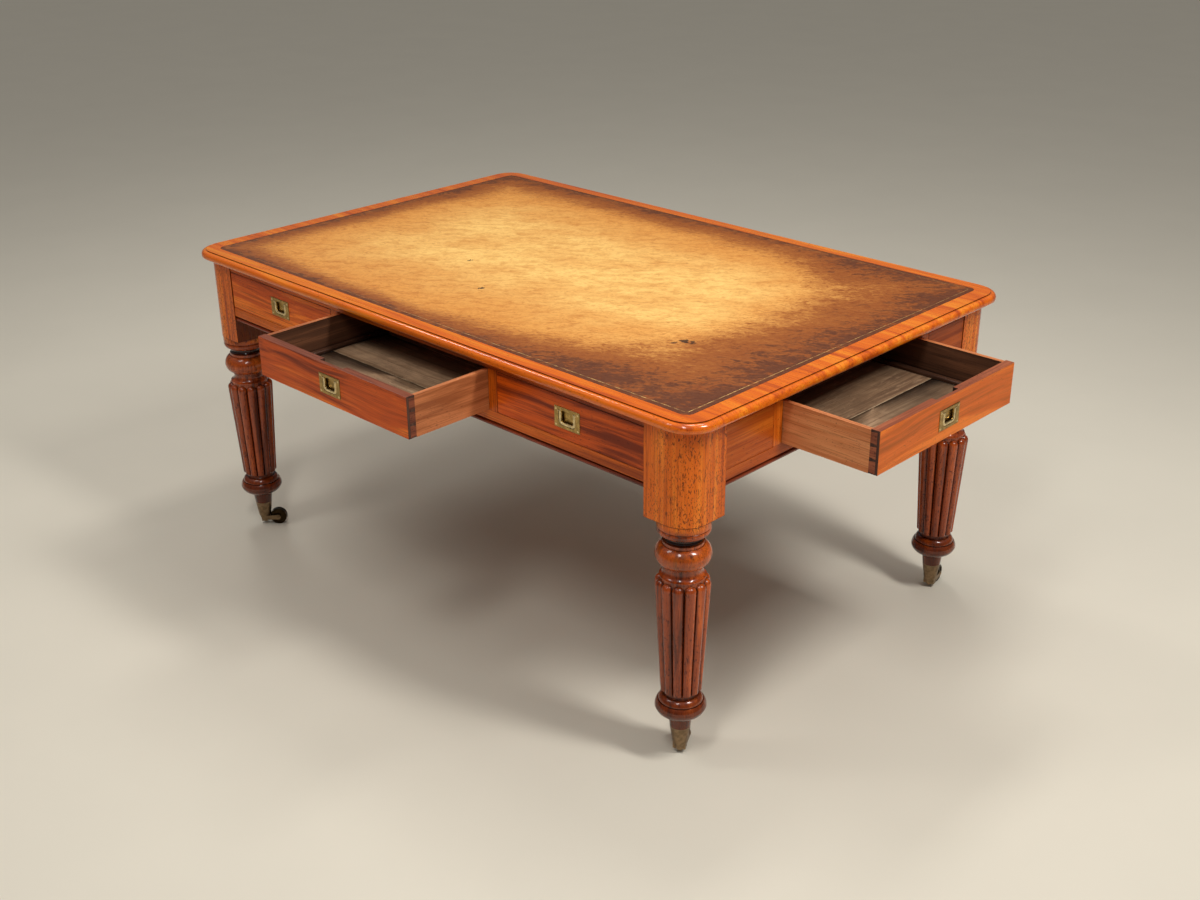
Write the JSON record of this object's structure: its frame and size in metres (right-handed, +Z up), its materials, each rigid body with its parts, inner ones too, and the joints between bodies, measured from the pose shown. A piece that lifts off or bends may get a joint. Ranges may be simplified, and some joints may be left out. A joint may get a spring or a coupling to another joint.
{
  "type": "partners desk",
  "caption": "Leather-topped mahogany partners desk on reeded turned legs with brass castors, with drawers opening on every side and flush brass pulls.",
  "frame": {"origin": "on the floor, under the centre of the box of the desk as stored, with two drawers pulled out", "axes": "+X along the long side to the right, +Y to the back, +Z up; the front faces -Y"},
  "size_m": [1.7998, 1.2438, 0.75],
  "materials": {
    "top_wood": "polished mahogany, orange-brown",
    "leg_wood": "polished mahogany, red-brown",
    "frieze_wood": "polished mahogany",
    "bead_wood": "polished mahogany, dark",
    "drawer_front_wood": "polished figured mahogany",
    "drawer_lining_wood": "waxed oak, worn",
    "inner_wood": "plain planed wood",
    "leather": "tan hide with a gold tooled line",
    "brass": "aged, satin",
    "wheel_brass": "dark, worn",
    "pull_brass": "aged, worn bright on the edges",
    "steel": "dull"
  },
  "bodies": {
    "desk": {"top": "top_wood", "leather": "leather", "front_left_leg": "leg_wood", "front_right_leg": "leg_wood", "back_left_leg": "leg_wood", "back_right_leg": "leg_wood", "castor_cups": "brass", "castor_pivots": "brass", "long_lower_rails": "frieze_wood", "end_lower_rails": "frieze_wood", "upper_rails": "frieze_wood", "drawer_dividers": "frieze_wood", "end_stiles": "frieze_wood", "end_panels": "frieze_wood", "rail_beads": "bead_wood", "drawer_runners": "inner_wood", "drawer_guides": "inner_wood", "drawer_kickers": "inner_wood", "drawer_stops": "inner_wood", "top_screws": "steel"},
    "castor_front_left": {"castor_horn_front_left": "brass"},
    "wheel_front_left": {"castor_wheel_front_left": "wheel_brass"},
    "castor_front_right": {"castor_horn_front_right": "brass"},
    "wheel_front_right": {"castor_wheel_front_right": "wheel_brass"},
    "castor_back_left": {"castor_horn_back_left": "brass"},
    "wheel_back_left": {"castor_wheel_back_left": "wheel_brass"},
    "castor_back_right": {"castor_horn_back_right": "brass"},
    "wheel_back_right": {"castor_wheel_back_right": "wheel_brass"},
    "front_left_drawer": {"front_left_drawer_front": "drawer_front_wood", "front_left_drawer_box": "drawer_lining_wood", "front_left_drawer_pull_plate": "pull_brass"},
    "front_left_bail": {"front_left_drawer_pull_bail": "pull_brass"},
    "front_middle_drawer": {"front_middle_drawer_front": "drawer_front_wood", "front_middle_drawer_box": "drawer_lining_wood", "front_middle_drawer_pull_plate": "pull_brass"},
    "front_middle_bail": {"front_middle_drawer_pull_bail": "pull_brass"},
    "front_right_drawer": {"front_right_drawer_front": "drawer_front_wood", "front_right_drawer_box": "drawer_lining_wood", "front_right_drawer_pull_plate": "pull_brass"},
    "front_right_bail": {"front_right_drawer_pull_bail": "pull_brass"},
    "right_end_drawer": {"right_end_drawer_front": "drawer_front_wood", "right_end_drawer_box": "drawer_lining_wood", "right_end_drawer_pull_plate": "pull_brass"},
    "right_end_bail": {"right_end_drawer_pull_bail": "pull_brass"},
    "back_right_drawer": {"back_right_drawer_front": "drawer_front_wood", "back_right_drawer_box": "drawer_lining_wood", "back_right_drawer_pull_plate": "pull_brass"},
    "back_right_bail": {"back_right_drawer_pull_bail": "pull_brass"},
    "back_middle_drawer": {"back_middle_drawer_front": "drawer_front_wood", "back_middle_drawer_box": "drawer_lining_wood", "back_middle_drawer_pull_plate": "pull_brass"},
    "back_middle_bail": {"back_middle_drawer_pull_bail": "pull_brass"},
    "back_left_drawer": {"back_left_drawer_front": "drawer_front_wood", "back_left_drawer_box": "drawer_lining_wood", "back_left_drawer_pull_plate": "pull_brass"},
    "back_left_bail": {"back_left_drawer_pull_bail": "pull_brass"},
    "left_end_drawer": {"left_end_drawer_front": "drawer_front_wood", "left_end_drawer_box": "drawer_lining_wood", "left_end_drawer_pull_plate": "pull_brass"},
    "left_end_bail": {"left_end_drawer_pull_bail": "pull_brass"}
  },
  "joints": [
    {"name": "castor_swivel_front_left", "type": "hinge", "parent": "desk", "child": "castor_front_left", "pos_m": [-0.82035, -0.36165, 0.026], "axis": [0, 0, 1], "continuous": true},
    {"name": "wheel_spin_front_left", "type": "hinge", "parent": "castor_front_left", "child": "wheel_front_left", "pos_m": [-0.79467, -0.33685, 0.021], "axis": [-0.6947, 0.7193, 0], "continuous": true},
    {"name": "castor_swivel_front_right", "type": "hinge", "parent": "desk", "child": "castor_front_right", "pos_m": [0.62965, -0.36165, 0.026], "axis": [0, 0, 1], "continuous": true},
    {"name": "wheel_spin_front_right", "type": "hinge", "parent": "castor_front_right", "child": "wheel_front_right", "pos_m": [0.61289, -0.33013, 0.021], "axis": [-0.8829, -0.4695, 0], "continuous": true},
    {"name": "castor_swivel_back_left", "type": "hinge", "parent": "desk", "child": "castor_back_left", "pos_m": [-0.82035, 0.54935, 0.026], "axis": [0, 0, 1], "continuous": true},
    {"name": "wheel_spin_back_left", "type": "hinge", "parent": "castor_back_left", "child": "wheel_back_left", "pos_m": [-0.85271, 0.53426, 0.021], "axis": [0.4226, -0.9063, 0], "continuous": true},
    {"name": "castor_swivel_back_right", "type": "hinge", "parent": "desk", "child": "castor_back_right", "pos_m": [0.62965, 0.54935, 0.026], "axis": [0, 0, 1], "continuous": true},
    {"name": "wheel_spin_back_right", "type": "hinge", "parent": "castor_back_right", "child": "wheel_back_right", "pos_m": [0.62284, 0.5844, 0.021], "axis": [-0.9816, -0.1908, 0], "continuous": true},
    {"name": "front_left_drawer_slide", "type": "slide", "parent": "desk", "child": "front_left_drawer", "axis": [0, -1, 0], "range_m": [0, 0.18]},
    {"name": "front_left_bail_hinge", "type": "hinge", "parent": "front_left_drawer", "child": "front_left_bail", "pos_m": [-0.5676, -0.41265, 0.6803], "axis": [-1, 0, 0], "range_deg": [0, 95]},
    {"name": "front_middle_drawer_slide", "type": "slide", "parent": "desk", "child": "front_middle_drawer", "axis": [0, -1, 0], "range_m": [-0.207, 0.173]},
    {"name": "front_middle_bail_hinge", "type": "hinge", "parent": "front_middle_drawer", "child": "front_middle_bail", "pos_m": [-0.09535, -0.61965, 0.6803], "axis": [-1, 0, 0], "range_deg": [0, 95]},
    {"name": "front_right_drawer_slide", "type": "slide", "parent": "desk", "child": "front_right_drawer", "axis": [0, -1, 0], "range_m": [0, 0.18]},
    {"name": "front_right_bail_hinge", "type": "hinge", "parent": "front_right_drawer", "child": "front_right_bail", "pos_m": [0.3769, -0.41265, 0.6803], "axis": [-1, 0, 0], "range_deg": [0, 95]},
    {"name": "right_end_drawer_slide", "type": "slide", "parent": "desk", "child": "right_end_drawer", "axis": [1, 0, 0], "range_m": [-0.217, 0.163]},
    {"name": "right_end_bail_hinge", "type": "hinge", "parent": "right_end_drawer", "child": "right_end_bail", "pos_m": [0.89765, 0.09385, 0.6803], "axis": [0, -1, 0], "range_deg": [0, 95]},
    {"name": "back_right_drawer_slide", "type": "slide", "parent": "desk", "child": "back_right_drawer", "axis": [0, 1, 0], "range_m": [0, 0.18]},
    {"name": "back_right_bail_hinge", "type": "hinge", "parent": "back_right_drawer", "child": "back_right_bail", "pos_m": [0.3769, 0.60035, 0.6803], "axis": [1, 0, 0], "range_deg": [0, 95]},
    {"name": "back_middle_drawer_slide", "type": "slide", "parent": "desk", "child": "back_middle_drawer", "axis": [0, 1, 0], "range_m": [0, 0.38]},
    {"name": "back_middle_bail_hinge", "type": "hinge", "parent": "back_middle_drawer", "child": "back_middle_bail", "pos_m": [-0.09535, 0.60035, 0.6803], "axis": [1, 0, 0], "range_deg": [0, 95]},
    {"name": "back_left_drawer_slide", "type": "slide", "parent": "desk", "child": "back_left_drawer", "axis": [0, 1, 0], "range_m": [0, 0.18]},
    {"name": "back_left_bail_hinge", "type": "hinge", "parent": "back_left_drawer", "child": "back_left_bail", "pos_m": [-0.5676, 0.60035, 0.6803], "axis": [1, 0, 0], "range_deg": [0, 95]},
    {"name": "left_end_drawer_slide", "type": "slide", "parent": "desk", "child": "left_end_drawer", "axis": [-1, 0, 0], "range_m": [0, 0.38]},
    {"name": "left_end_bail_hinge", "type": "hinge", "parent": "left_end_drawer", "child": "left_end_bail", "pos_m": [-0.87135, 0.09385, 0.6803], "axis": [0, 1, 0], "range_deg": [0, 95]}
  ]
}
